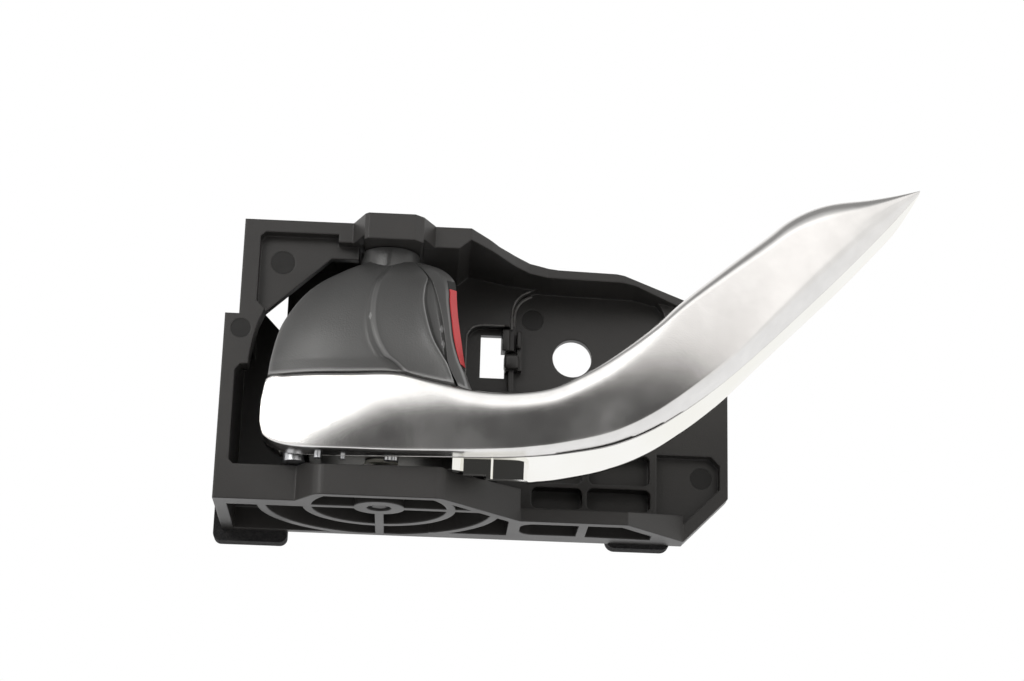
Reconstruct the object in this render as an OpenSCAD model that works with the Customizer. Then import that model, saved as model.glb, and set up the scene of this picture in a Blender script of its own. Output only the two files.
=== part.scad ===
// Car interior door handle: a moulded bracket that holds a sprung pull lever
// and a rocking lock knob on one upright pivot pin.
// Millimetres. X runs along the door to the lever's free end, Y goes into the
// door, Z is up along the pivot pin. The origin is the middle of the round
// fixing hole, on the rear face that sits against the door.

/* [Placing] */
// fixing hole to the right of the pivot axis
hole_x = 54.5; // [54.5]
// fixing hole above the underside of the bracket
hole_z = 55.0; // [55]
// rear mounting face behind the pivot axis
rear_y = 33.0; // [33]

/* [Fixing hole] */
// radius of the round fixing hole
hole_r = 5.8; // [5.6:0.1:6.0]

/* [Bracket walls] */
// general wall thickness of the moulding
wall = 2.4; // [2.2:0.1:2.6]
// thickness of the plate behind a recess
floor_wall = 2.5; // [2.4:0.1:2.6]
// face of the left front plate, in front of the pivot axis
plate_front = 5.0; // [4.8:0.1:5.2]
// thickness of that plate
plate_depth = 6.0; // [5.8:0.1:6.2]
// depth of the recess in its upper corner
plate_recess = 3.5; // [3.2:0.1:3.6]
// face of the bulge round the pivot, in front of the axis
bulge_front = 13.6; // [13.4:0.1:13.8]
// left side of the bracket, left of the pivot axis
left_x = 45.2; // [45.2]
// upper part of the left side, which stands further in
upper_left_x = 41.3; // [41.3]
// height at which the left side steps in
step_z = 53.0; // [53]
// top of the bracket on the left
top_z = 81.2; // [81.2]
// underside of the top wall
roof_z = 74.6; // [74.6]
// right side of the bracket
right_x = 100.2; // [100.2]

/* [Back pan] */
// raised surface of the back pan, behind the pivot axis
pan_y = 27.0; // [26.8:0.1:27.2]
// left end of the thick part of the back pan
pan_left = 14.0; // [13:0.5:15]
// left end of the wide recess
tray_left = 36.6; // [36.4:0.1:36.8]
// lower edge of both recesses
tray_low = 43.0; // [43]
// depth of the four small pockets
pocket_depth = 4.5; // [4.3:0.1:4.6]

/* [Beam] */
// height of the beam under the lever
beam_high = 9.8; // [9.7:0.1:9.9]
// thickness of the beam's deck
deck = 2.2; // [2.0:0.1:2.4]
// width of the ribs under the deck
rib = 2.4; // [2.2:0.1:2.6]
// outside radius of the middle ring rib
ring_mid = 21.0; // [20.8:0.1:21.2]
// outside radius of the wide ring rib
ring_wide = 33.5; // [33.3:0.1:33.7]
// height of the front rim under the small pockets
rim_high = 3.8; // [3.7:0.1:3.9]
// front of that rim, behind the pivot axis
rim_y = 9.2; // [9.1:0.1:9.3]

/* [Pivot] */
// radius of the pivot pin
pin_r = 2.0; // [2.0]
// free play round the pin, each side
pin_play = 0.05; // [0.03:0.01:0.08]
// radius of the lower bearing hub
hub_r = 7.0; // [6.8:0.1:7.2]
// underside of the top boss
boss_low = 73.6; // [73.6]
// front of the top boss, in front of the axis
boss_front = 14.0; // [13.8:0.1:14.2]
// left side of the boss, left of the axis
boss_left = 7.3; // [7.2:0.1:7.4]
// right side of the boss, right of the axis
boss_right = 9.2; // [9.1:0.1:9.3]
// width of the slope on each side of the boss
boss_foot = 3.4; // [3.3:0.1:3.5]

/* [Lever] */
// wall thickness of the lever's two shells
shell = 2.2; // [2.0:0.1:2.4]
// radius of the lever's bearing lugs
lug_r = 5.6; // [5.4:0.1:5.8]
// length of the cable arm behind the pivot
arm_long = 20.0; // [19:0.5:21]

/* [Lock knob] */
// wall thickness of the knob
knob_shell = 2.2; // [2.0:0.1:2.4]
// radius of the knob's round neck
neck_r = 8.2; // [8.1:0.1:8.2]
// gap between the knob and the lever below it
knob_gap = 0.7; // [0.6:0.1:0.8]
// thickness of the red insert
red_thick = 0.5; // [0.4:0.1:0.6]
// gap behind the red insert
red_gap = 0.2; // [0.18:0.01:0.25]
// top of the knob's face
knob_top = 69.4; // [69.4]

/* [Springs and pads] */
// wire radius of the return spring
wire_r = 0.6; // [0.6]
// middle radius of its coil
coil_r = 3.0; // [2.9:0.1:3.0]
// turns in the coil
coil_turns = 6; // [5:1:6]
// rise of one turn
coil_pitch = 1.5; // [1.4:0.1:1.6]
// height of its lowest turn
coil_low = 17.0; // [17.0]
// thickness of the foam pads
foam = 5.0; // [4.5:0.5:5.5]
// width of the left foam pad
pad_left_wide = 21.2; // [20:0.4:22]
// height of the left foam pad
pad_left_high = 15.2; // [14:0.4:16]
// width of the right foam pad
pad_right_wide = 18.8; // [18:0.4:20]
// height of the right foam pad
pad_right_high = 10.2; // [9.4:0.4:11]

/* [Hidden] */
$fn = 72;
eps = 0.01;
bore_r = pin_r + pin_play;
recess_y = rear_y - floor_wall;
deck_low = beam_high - deck;
coil_top = coil_low + coil_pitch * coil_turns;
lever_foot = beam_high + 0.4;

// node to draw, or all of them

// shared shapes and curves

// moves everything from the pivot axis to the fixing hole
module placed()
    translate([-hole_x, -rear_y, -hole_z]) children();

// a flat shape drawn in X and Z, from depth y0 to depth y1
module slab(y0, y1)
    translate([0, y1, 0])
        rotate([90, 0, 0])
            linear_extrude(height = y1 - y0)
                children();

// a shape drawn in plan, from height z0 to height z1
module plan(z0, z1)
    translate([0, 0, z0])
        linear_extrude(height = z1 - z0)
            children();

// a rectangle with round corners, from corner a to corner b
module soft_box(a, b, r) {
    translate([a[0] + r, a[1]]) square([b[0] - a[0] - 2 * r, b[1] - a[1]]);
    translate([a[0], a[1] + r]) square([b[0] - a[0], b[1] - a[1] - 2 * r]);
    for (x = [a[0] + r, b[0] - r])
        for (z = [a[1] + r, b[1] - r])
            translate([x, z]) circle(r);
}

// a smooth curve through a short list of points
function seg(t, x, i = 0) =
    i >= len(t) - 2 || x < t[i + 1][0] ? i : seg(t, x, i + 1);
function slope(t, i) =
    let (a = t[max(i - 1, 0)], b = t[min(i + 1, len(t) - 1)])
    (b[1] - a[1]) / (b[0] - a[0]);
function curve(t, x) =
    let (i = seg(t, x), a = t[i], b = t[i + 1], w = b[0] - a[0])
    let (u = (x - a[0]) / w, m = slope(t, i) * w, n = slope(t, i + 1) * w)
    a[1] * (1 + 2 * u) * (1 - u) * (1 - u) + m * u * (1 - u) * (1 - u)
    + b[1] * u * u * (3 - 2 * u) + n * u * u * (u - 1);

// faces of a trough made of rings; each ring runs along its outside and
// then back along its inside, with half points on each
function trough_faces(count, half) =
    let (m = 2 * half)
    concat(
        [for (j = [0 : count - 2]) for (i = [0 : m - 1])
            [j * m + i, (j + 1) * m + i, (j + 1) * m + (i + 1) % m]],
        [for (j = [0 : count - 2]) for (i = [0 : m - 1])
            [j * m + i, (j + 1) * m + (i + 1) % m, j * m + (i + 1) % m]],
        [for (i = [0 : half - 2]) [i, i + 1, m - 2 - i]],
        [for (i = [0 : half - 2]) [i, m - 2 - i, m - 1 - i]],
        [for (i = [0 : half - 2]) let (o = (count - 1) * m)
            [o + i, o + m - 2 - i, o + i + 1]],
        [for (i = [0 : half - 2]) let (o = (count - 1) * m)
            [o + i, o + m - 1 - i, o + m - 2 - i]]);
function joined(rings) = [for (r = rings) for (p = r) p];
module trough(rings, flip = false) {
    f = trough_faces(len(rings), len(rings[0]) / 2);
    g = flip ? [for (t = f) [t[0], t[2], t[1]]] : f;
    polyhedron(points = joined(rings), faces = g, convexity = 8);
}

// the moulded bracket

// outline of the back, seen from the front
module back_outline()
    polygon([[-left_x, 0], [87.2, 0], [right_x, 13.2], [right_x, 63],
             [88, 73.0], [66, 76.7], [49, 77.1], [43, 77.8], [37, 78.4],
             [31, 79.1], [28, 80.0], [22.7, top_z], [-upper_left_x, top_z],
             [-upper_left_x, step_z], [-left_x, step_z]]);

// edge of the opening in the left front plate
module well_outline()
    polygon([[60, 71.5], [-16.6, 71.5], [-17.8, 70.3], [-34.3, 54.8],
             [-36.0, 50.5], [-37.1, 45.8], [-37.8, 41.1], [-38.0, 38.5],
             [-40.2, 38.3], [-41.5, 36.6], [-41.5, 11.0], [-40.2, beam_high],
             [60, beam_high]]);

// a rounded corner at p, on the way from a to b
function corner(a, p, b, r) =
    let (c = p + r * (a - p) / norm(a - p), d = p + r * (b - p) / norm(b - p))
    [for (u = [0 : 0.2 : 1])
        (1 - u) * (1 - u) * c + 2 * u * (1 - u) * p + u * u * d];

// plan of the whole bracket, seen from above
module bracket_plan() {
    a = [-22.8, -plate_front];
    b = [-17, -bulge_front];
    c = [16.7, -bulge_front];
    d = [39.3, rim_y];
    polygon(concat([[-left_x, -plate_front], a], corner(a, b, c, 2),
                   corner(b, c, d, 2), [d, [69.5, rim_y], [87.2, pan_y],
                   [87.2, rear_y], [-left_x, rear_y]]));
}

// plan of the top wall, whose front edge draws back to the right
module roof_plan()
    polygon([[-upper_left_x, -plate_front], [22.7, -plate_front], [29, 1],
             [36, 9], [40.5, 13.6], [46, 15.4], [68.3, 15.5],
             [88, pan_y - 0.5], [right_x, pan_y], [right_x, rear_y],
             [-upper_left_x, rear_y]]);

// section of the top wall, seen from the front
module roof_section()
    polygon([[-upper_left_x, top_z], [22.7, top_z], [28, 80.0], [31, 79.1],
             [37, 78.4], [43, 77.8], [49, 77.1], [66, 76.7], [88, 73.0],
             [right_x, 63], [right_x - wall, 62.2], [87, 70.5],
             [72, roof_z - 0.6], [46, roof_z], [36, 75.4], [29, 76.8],
             [22.7, 77.8], [19.5, 75], [-9, 75], [-9, top_z - wall],
             [-upper_left_x, top_z - wall]]);

// the left box: front plate, side walls and roof
module left_box() {
    difference() {
        slab(-plate_front, -plate_front + plate_depth)
            difference() {
                polygon([[-left_x, 0], [-20, 0], [-20, 40],
                         [-boss_left - 1.6, 40], [-boss_left - 1.6, 75],
                         [19.5, 75], [22.7, 77.8], [22.7, top_z],
                         [-upper_left_x, top_z], [-upper_left_x, step_z],
                         [-left_x, step_z]]);
                well_outline();
            }
        slab(-plate_front - 1, -plate_front + plate_recess)
            polygon([[-36.7, 57.0], [-36.7, 76.2], [-35.3, 77.6],
                     [-14.7, 77.6], [-14.7, 75.3], [-9, 75.3], [-9, 60],
                     [-30, 50], [-34.6, 54.9]]);
    }
    slab(-plate_front, rear_y) {
        polygon([[-left_x, 0], [-left_x + 3.4, 0], [-left_x + 3.4, step_z],
                 [-left_x, step_z]]);
        polygon([[-left_x, step_z - wall], [-upper_left_x + wall, step_z - wall],
                 [-upper_left_x + wall, top_z], [-upper_left_x, top_z],
                 [-upper_left_x, step_z], [-left_x, step_z]]);
    }
    intersection() {
        slab(-plate_front, rear_y) roof_section();
        plan(60, top_z + 1) roof_plan();
    }
}

// round marks that the ejector pins leave on the plate
module ejector_marks()
    for (m = [[-30.2, 69.7, 3.4, plate_recess], [-40.6, 48.7, 2.8, 0]])
        translate([m[0], -plate_front + m[3] + 0.15, m[1]])
            rotate([90, 0, 0]) cylinder(r = m[2], h = 3);

// back pan with its recesses, pockets and holes
module back_pan() {
    difference() {
        union() {
            slab(recess_y, rear_y) back_outline();
            slab(pan_y, rear_y)
                intersection() {
                    back_outline();
                    translate([pan_left, 0]) square([120, 90]);
                }
        }
        // window behind the upper left corner
        slab(recess_y - 1, rear_y + 1)
            polygon([[-30.2, 59.4], [-30.2, 78], [-38.4, 78], [-38.4, 66.6],
                     [-31.6, 59.4]]);
        // windows for the two cable arms
        slab(recess_y - 1, rear_y + 1) {
            soft_box([-14, 14], [10, 28], 3);
            soft_box([-14, 48.8], [10, 58], 3);
        }
        // wide recess round the fixing hole
        slab(pan_y - 1, recess_y) {
            soft_box([tray_left, tray_low], [81.5, roof_z + 0.2], 8);
            translate([tray_left + 10, 66]) square([27, roof_z - 66 + 2]);
            translate([tray_left, tray_low]) square([20, 12]);
        }
        // small recess round the square hole
        slab(pan_y - 1, recess_y) {
            soft_box([23, tray_low], [tray_left + 2, 63.2], 5);
            translate([23, tray_low]) square([tray_left - 22, 14]);
        }
        // fixing hole
        translate([hole_x, rear_y + 1, hole_z])
            rotate([90, 0, 0]) cylinder(r = hole_r, h = 8);
        // square hole and the slots beside it
        slab(pan_y - 1, rear_y + 1) {
            translate([27.3, 47.9]) square([6.1, 13.3]);
            translate([33.3, 47.9]) square([1.2, 8.1]);
        }
        // five cored pockets in the thick part, seen from behind
        slab(pan_y + wall, rear_y + 1) {
            translate([pan_left + wall, 12]) square([22, 27]);
            translate([40.5, 28]) square([21, 11.5]);
            translate([64, 28]) square([21, 11.5]);
            translate([89.2, 30]) square([8.6, 31]);
            translate([pan_left + wall, 66]) square([18, 6]);
        }
        // small pockets on the front
        slab(pan_y - 1, pan_y + pocket_depth) {
            soft_box([43.2, 8.3], [57.9, 14.6], 1.8);
            soft_box([59.2, 8.3], [77.6, 14.8], 1.8);
            soft_box([59.7, 16.0], [77.4, 25.0], 1.8);
            soft_box([43.2, 16.0], [57.9, 25.0], 1.8);
        }
        slab(pan_y - 1, recess_y)
            polygon([[79.4, 25.6], [95.2, 25.6], [97.8, 23.0], [97.8, 15.8],
                     [87.2, 5.2], [79.4, 5.2]]);
        for (m = [[42.5, 66.5], [92.8, 19.8]])
            translate([m[0], recess_y + 0.15, m[1]])
                rotate([90, 0, 0]) cylinder(r = 3.2, h = 6);
    }
    // bar and lugs of the cable clip beside the square hole
    slab(pan_y + 0.6, rear_y) {
        translate([35.6, tray_low]) square([1.5, 9.0]);
        translate([35.6, 55.7]) square([1.6, 7.6]);
        translate([34.6, 49.4]) square([1.6, 1.6]);
        translate([38.0, 49.6]) square([1.4, 12.0]);
    }
}

// beam under the lever: deck above, ring ribs below
module beam() {
    difference() {
        intersection() {
            plan(0, beam_high) bracket_plan();
            union() {
                slab(-20, rear_y)
                    polygon([[-left_x, 0], [39.3, 0], [39.3, beam_high - 0.5],
                             [20, beam_high - 1.5], [16.7, beam_high - 1.0],
                             [-17, beam_high - 1.4],
                             [-20, beam_high], [-left_x, beam_high]]);
                // low rim on the right, with a deck that rises to the back
                translate([39.2, 0, 0])
                    rotate([90, 0, 90])
                        linear_extrude(height = 50)
                            polygon([[rim_y, 0], [rear_y, 0],
                                     [rear_y, rim_high + 4],
                                     [pan_y, rim_high + 4],
                                     [rim_y, rim_high]]);
            }
        }
        // hollows between the ring ribs
        plan(-1, deck_low - 1.2)
            difference() {
                polygon([[-left_x + 3.3, -plate_front + rib],
                         [-21.6, -plate_front + rib],
                         [-15.9, -bulge_front + rib],
                         [15.7, -bulge_front + rib],
                         [36.2, rim_y + 1.0], [36.2, rear_y - 2.2],
                         [-left_x + 3.3, rear_y - 2.2]]);
                circle(hub_r);
                difference() {
                    circle(ring_mid);
                    circle(ring_mid - rib);
                }
                difference() {
                    circle(ring_wide);
                    circle(ring_wide - rib);
                }
                translate([-left_x, -rib / 2]) square([left_x + 40, rib]);
                translate([-rib / 2, 0]) square([rib, rear_y]);
            }
        // hollows under the low rim
        intersection() {
            plan(-1, 9) {
                difference() {
                    soft_box([39.6, 12.3], [56.0, 25.2], 4.2);
                    translate([56.4, 10]) square([3, 20]);
                }
                translate([47, 12.3]) square([9.0, 12.9]);
                polygon([[58.6, 12.3], [68.2, 12.3], [77.4, 21.6],
                         [77.4, 26.4], [58.6, 25.6]]);
            }
            translate([38, 0, 0])
                rotate([90, 0, 90])
                    linear_extrude(height = 50)
                        polygon([[0, -1], [rear_y, -1], [rear_y, 6.2],
                                 [pan_y, 6.2], [rim_y, 2.2], [0, 2.2]]);
        }
        plan(-1, 5)
            polygon([[42.0, 27.8], [77.4, 28.6], [77.4, 31.2], [41.0, 31.2]]);
    }
}

// upper bearing boss with a slope on each side
module boss() {
    plan(boss_low, top_z)
        polygon([[-boss_left, 6], [-boss_left, 1 - boss_front],
                 [1 - boss_left, -boss_front], [boss_right - 2.5, -boss_front],
                 [boss_right, 2.2 - boss_front], [boss_right, 6]]);
    plan(74.8, top_z)
        polygon([[-boss_left - boss_foot, 1 - plate_front],
                 [-boss_left - boss_foot, -plate_front],
                 [-boss_left, 1 - boss_front], [boss_right, 2.2 - boss_front],
                 [boss_right + boss_foot, -plate_front],
                 [boss_right + boss_foot, 1 - plate_front]]);
}

module housing() {
    color([0.10, 0.10, 0.11])
        placed()
            difference() {
                union() {
                    left_box();
                    back_pan();
                    beam();
                    boss();
                    // post that carries the lever's rest stop
                    translate([25.6, 4.4, beam_high - 3]) cube([6.8, 5, 13]);
                }
                ejector_marks();
                // bearing bores
                translate([0, 0, -1]) cylinder(r = bore_r, h = 79.6);
                translate([0, 0, -1]) cylinder(r = 3.4, h = 2.6);
            }
}

// the pull lever

// upper and lower edge of the lever, seen from the front
lever_top = [[-33, 26], [-32, 32.2], [-27, 33.1], [-9, 33.2], [3, 33.3],
             [12.5, 31.2], [26, 28.5], [36, 28.2], [46, 30.0], [55.8, 35.2],
             [64.3, 41.2], [73, 48.3], [79.8, 54.9], [93.1, 66.4],
             [103.6, 75.1], [109.2, 80.0], [115.5, 83.9], [122.4, 86.6],
             [133.5, 89.0], [148, 92.8]];
lever_low = [[-33, 18.5], [-32, 15.2], [-27.4, 12.5], [-19.7, 11.3],
             [-8, 10.9], [5.3, 10.7], [27.7, 10.7], [38.8, 11.1],
             [50, 12.3], [63.7, 15.3], [76.8, 21.8], [94.6, 35.7],
             [121, 61.8], [136, 78.0], [148, 92.0]];
// front face of the lever, in front of the pivot axis
lever_face = [[-33, -14], [-20, -18], [0, -21.5], [28, -25], [63, -28],
              [93, -29], [108, -28.5], [127, -26], [148, -20]];
// depth of the front shell and of the whole lever
front_deep = [[-33, 2.5], [-30, 5.0], [-24, 6.4], [0, 7.0], [63, 8.0],
              [93, 8.0], [127, 6.0], [140, 4.0], [148, 1.4]];
lever_deep = [[-33, 8], [-30, 14], [-22, 20], [0, 27.5], [28, 26],
              [45, 24], [63, 22], [93, 19], [108, 14.6], [127, 12.2],
              [140, 8.6], [148, 2.6]];
// width of the bright band under the crease of the front shell
crease = [[-33, 3], [40, 4.5], [79, 5.2], [94, 5.4], [106, 7.2],
          [120, 8.2], [135, 6.4], [148, 0.35]];
// how far the back shell bellies out below the front one
belly = [[-33, 0], [28, 0], [31, 0.3], [34, 1.8], [40, 2.8], [48, 3.4],
         [61, 4.1], [76, 4.4], [84, 4.4], [94, 4.0], [103, 3.5], [120, 3.6],
         [136, 3.4], [142, 3.2], [146, 1.5], [148, 0.2]];
lever_x = [-33, -32.4, -31.2, -29, -26, -21, -15, -8, 0, 6, 12, 18, 24, 30,
           36, 42, 48, 54, 60, 66, 72, 78, 84, 90, 96, 102, 107, 111, 115,
           120, 126, 132, 138, 143, 146, 148];
lever_pts = 15;

// part of the way from the upper to the lower edge, for point k
function across(k, c) =
    k <= 9 ? c * pow(k / 9, 1.25) : c + (1 - c) * (k - 9) / (lever_pts - 10);
// how far the face stands out there, from 0 at the edges to 1
function stand(s, c) =
    s < 0.14 ? 0.01 + 0.97 * sqrt(1 - pow(1 - s / 0.14, 2))
    : s <= c ? 0.98 + 0.02 * sin(180 * (s - 0.14) / (c - 0.14))
    : 0.01 + 0.97 * cos(90 * pow((s - c) / (1 - c), 1.3));
function close_in(x) =
    min(1, (x + 33) / 3.0, (148 - x) / 5.0) * 0.9 + 0.1;
function front_ring(x) =
    let (zt = curve(lever_top, x), zb = curve(lever_low, x))
    let (h = zt - zb, zc = (zt + zb) / 2, d = curve(front_deep, x))
    let (yp = curve(lever_face, x) + d, c = 1 - curve(crease, x) / max(h, 0.8))
    let (w = shell * close_in(x), g = close_in(x))
    let (kz = g * max(0.1, (h - 2 * w) / h), ky = g * max(0.1, (d - w) / d))
    let (o = [for (k = [0 : lever_pts - 1]) let (s = across(k, c))
        [yp - d * stand(s, c), zt - h * s]])
    concat([for (p = o) [x, p[0], p[1]]],
           [for (k = [lever_pts - 1 : -1 : 0])
               [x, yp - (yp - o[k][0]) * ky, zc + (o[k][1] - zc) * kz]]);
// squareness of the back shell's section: boxy at the pivot and below,
// round above and outside
function square_off(x, up) = x < 40 || !up ? 7 : max(2.3, 7 - (x - 40) * 0.11);
function back_ring(x) =
    let (zt = curve(lever_top, x), zb = curve(lever_low, x))
    let (h = zt - zb, zc = (zt + zb) / 2, f = curve(front_deep, x))
    let (d = curve(lever_deep, x) - f, yp = curve(lever_face, x) + f)
    let (g = close_in(x), w = shell * g, low = max(0, curve(belly, x)))
    let (kz = g * max(0.1, (h - 2 * w) / h), ky = g * max(0.1, (d - w) / d))
    let (o = [for (k = [0 : lever_pts - 1]) let (a = 180 * k / (lever_pts - 1))
        let (q = abs(cos(a)), r = sin(a), up = a <= 90)
        let (n = square_off(x, up), m = pow(pow(q, n) + pow(r, n), -1 / n))
        let (half = h / 2 + (up ? 0 : low * sin(90 * min(1, r * m))))
        [yp + d * r * m, zc + (up ? 1 : -1) * q * m * half]])
    concat([for (p = o) [x, p[0], p[1]]],
           [for (k = [lever_pts - 1 : -1 : 0])
               [x, yp + (o[k][0] - yp) * ky, zc + (o[k][1] - zc) * kz]]);

screw_at = [[-21, 22], [58, 25], [96, 50]];
seat_deep = 4.2;
function screw_y(x) = curve(lever_face, x) + curve(lever_deep, x);

module lever_front_cover() {
    color([0.80, 0.80, 0.80])
        placed()
            difference() {
                union() {
                    trough([for (x = lever_x) front_ring(x)]);
                    // screw posts
                    for (s = screw_at)
                        translate([s[0], screw_y(s[0]) - seat_deep, s[1]])
                            rotate([90, 0, 0])
                                cylinder(r = 2.6, h = curve(lever_deep, s[0])
                                             - seat_deep - 1.2);
                }
                for (s = screw_at)
                    translate([s[0], screw_y(s[0]), s[1]])
                        rotate([90, 0, 0]) cylinder(r = 1.2, h = 12);
            }
}

module lever_back_cover() {
    color([0.86, 0.87, 0.88])
        placed()
            difference() {
                union() {
                    trough([for (x = lever_x) back_ring(x)], true);
                    // seats for the screw heads
                    for (s = screw_at)
                        translate([s[0], screw_y(s[0]) - shell + 0.8, s[1]])
                            rotate([90, 0, 0])
                                cylinder(r = 4.2, h = seat_deep - shell + 0.8);
                    // bearing lugs and the web that ties them to the shell
                    for (z = [[11.5, coil_low - 1.4], [coil_top + 1, 32.0]])
                        translate([0, 0, z[0]])
                            cylinder(r = lug_r, h = z[1] - z[0]);
                    translate([-12, 4.5, 12.5]) cube([24, 2.2, 18.5]);
                    // bright facets seen through the opening below
                    plan(lever_foot, lever_foot + 7)
                        polygon([[19.0, -6.0], [22.6, -3.0], [29.8, -2.4],
                                 [38.8, -3.0], [40.5, -5.0], [41.5, -0.6],
                                 [19.0, 0.6]]);
                    // finger that the spring pushes on
                    translate([-6.4, -8, coil_top + 1]) cube([3, 7, 3]);
                    translate([-6.4, -8, coil_top - 1.6])
                        cube([6.2 - coil_r - wire_r, 3, 4]);
                    // arm that pulls the cable
                    difference() {
                        translate([-3.2, 4.5, 18]) cube([6.4, arm_long - 1.5, 5.2]);
                        translate([0, arm_long - 1.2, 17])
                            cylinder(r = 1.7, h = 8);
                        translate([-0.8, arm_long - 1.2, 17])
                            cube([1.6, 10, 8]);
                    }
                }
                translate([0, 0, 5]) cylinder(r = bore_r, h = 40);
                // opening in the underside, beside the pivot
                translate([19.3, -16.2, 5]) cube([20, 9.4, 8.4]);
                translate([21.5, -7, 5]) cube([16.5, 3.2, 8.4]);
                // slot in which the spring's fixed leg swings
                translate([-coil_r - 5.6, 3, coil_low - 1.2])
                    cube([6.8, 5, 2.2]);
                for (s = screw_at)
                    translate([s[0], screw_y(s[0]) + 6, s[1]])
                        rotate([90, 0, 0]) {
                            cylinder(r = 1.7, h = 16);
                            cylinder(r = 3.2, h = 6 + seat_deep - 1.6);
                        }
            }
}

module lever_screw() {
    color([0.70, 0.71, 0.72])
        placed()
            for (s = screw_at)
                translate([s[0], screw_y(s[0]) - seat_deep + 1.6, s[1]])
                    rotate([90, 0, 0])
                        difference() {
                            union() {
                                translate([0, 0, -1.4]) cylinder(r = 2.8, h = 1.4);
                                cylinder(r = 1.15, h = 7.2);
                            }
                            translate([0, 0, -2]) cylinder(r = 1.1, h = 1.4, $fn = 6);
                        }
}

// the lock knob

// left and right edge of the knob against height
knob_left = [[33, -32.0], [39, -31.3], [47.3, -29.4], [53.7, -26.2],
             [58.9, -22.4], [62.9, -17.8], [65.7, -13.2], [67.6, -9.7],
             [knob_top, -5.6]];
knob_right = [[33, 24.6], [34.6, 23.5], [38.7, 21.7], [45.2, 20.5], [52, 19.4],
              [57.7, 18.9], [62.9, 18.5], [65.6, 16.8], [67.7, 14],
              [knob_top, 9.5]];
// the two raised lines down its face
ridge_one = [[33, 5.0], [35.4, 2.0], [37.5, -0.7], [43.3, -3.6], [50.6, -4.8],
             [60, -3.9], [64.8, -1.5], [knob_top, 2.5]];
ridge_two = [[33, 19.0], [37.5, 16.9], [38.9, 15.8], [43.3, 13.0], [48.8, 11.1],
             [55.2, 9.9], [60.4, 10.2], [63.7, 10.6], [knob_top, 6.5]];
// right edge of the hollow beside the second line
scoop = [[33, 20.2], [37.5, 17.4], [43, 16.5], [49.9, 15.4], [56.8, 13.8],
         [62.8, 11.9], [knob_top, 7.5]];
// left edge of the red insert
red_line = [[33, 23], [37, 21.3], [39.5, 19.9], [44.4, 18.3], [51, 17.3],
            [56, 16.7], [60, 16.5], [65, 15], [knob_top, 8.7]];
// how far the face stands in front of the knob's rear edge
knob_deep = [[33, 13.5], [38, 13.2], [45, 12.2], [52, 10.4], [58, 8.2],
             [63, 5.8], [67, 3.6], [knob_top, 1.6]];
knob_back = -5.5;
knob_z = [33, 34, 36, 38.5, 41, 43.5, 46, 48.5, 51, 53.5, 56, 58.5, 60.4, 62.5,
          64.8, 66.5, 67.8, 68.8, knob_top];
// each column: which lines it lies between, how far, and its height
knob_cols = [[0, 0, 0], [0, 0, 0.30], [0, 0.04, 0.42], [0, 0.20, 0.58],
             [0, 0.42, 0.74], [0, 0.66, 0.86], [0, 0.88, 0.92],
             [0, 0.96, 0.95], [1, 0, 1.02], [1, 0.05, 1.04],
             [1, 0.25, 0.99], [1, 0.55, 0.98], [1, 0.85, 1.0],
             [1, 0.96, 1.04], [2, 0.05, 1.03], [2, 0.30, 0.93],
             [2, 0.75, 0.91], [3, 0, 0.97], [3, 0.12, 0.96],
             [3, 0.6, 0.92], [4, 0, 0.90], [4, 0.97, 0.66],
             [4, 1, 0.58], [4, 1, 0]];
red_from = 20;
red_to = 21;

// lower edge of the knob, just clear of the lever's upper edge
function knob_low(x) = curve(lever_top, max(x, -27)) + knob_gap;
function knob_x(z, c) =
    let (a = curve(knob_left, z), b = curve(ridge_one, z))
    let (d = curve(ridge_two, z), e = max(d + 0.4, curve(scoop, z)))
    let (f = max(e + 0.4, curve(red_line, z)))
    let (l = [a, b, d, e, f, max(f + 0.4, curve(knob_right, z))])
    l[c[0]] + (l[c[0] + 1] - l[c[0]]) * c[1];
function knob_point(z, c) =
    let (x = knob_x(z, c), v = (z - 33) / (knob_top - 33))
    [x, knob_back - curve(knob_deep, z) * c[2],
     z + (knob_low(x) - 33) * pow(1 - v, 3)];
function knob_ring(z) =
    let (o = [for (c = knob_cols) knob_point(z, c)])
    let (xl = o[0][0], xr = o[len(o) - 1][0], xc = (xl + xr) / 2)
    let (g = min(1, (knob_top - z) / 3.5) * 0.6 + 0.4, h = curve(knob_deep, z))
    let (kx = max(0.1, 1 - 2 * knob_shell / (xr - xl)))
    let (ky = g * max(0.6, 1 - knob_shell / h))
    concat(o, [for (i = [len(o) - 1 : -1 : 0])
        [xc + (o[i][0] - xc) * kx, knob_back + (o[i][1] - knob_back) * ky,
         o[i][2]]]);

module lock_knob() {
    color([0.23, 0.23, 0.24])
        placed()
            difference() {
                union() {
                    trough([for (z = knob_z) knob_ring(z)]);
                    translate([0, 0, 61.0]) cylinder(r = neck_r, h = 12.3);
                    translate([0, 0, 35.6]) cylinder(r = 5.4, h = 26);
                    // ribs that tie the hub to the face
                    translate([-23, -8.5, 44]) cube([42, 5.5, 2.4]);
                    translate([-29.8, -7.6, 34.6]) cube([50, 1.6, 9]);
                    translate([-1.2, -13.5, 36.5]) cube([2.4, 12, 22]);
                    // arm that moves the lock cable
                    difference() {
                        union() {
                            translate([-3, 3, 50])
                                cube([6, arm_long - 2, 4.6]);
                            translate([0, 12, 50]) cylinder(r = 2.2, h = 13);
                        }
                        translate([0, arm_long - 3, 49])
                            cylinder(r = 1.6, h = 8);
                    }
                }
                translate([0, 0, 30]) cylinder(r = bore_r, h = 50);
            }
}

module lock_indicator() {
    color([0.86, 0.20, 0.20])
        placed()
            trough([for (z = [for (q = knob_z) if (q > 38 && q < 61) q])
                let (a = knob_point(z, knob_cols[red_from]))
                let (b = knob_point(z, knob_cols[red_to]))
                let (n = [b[1] - a[1], a[0] - b[0], 0] / norm(b - a))
                let (f = (red_gap + red_thick) * n, g = red_gap * n)
                [a + g, b + g, b + f, a + f]], true);
}

// the pin, springs and pads

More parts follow.
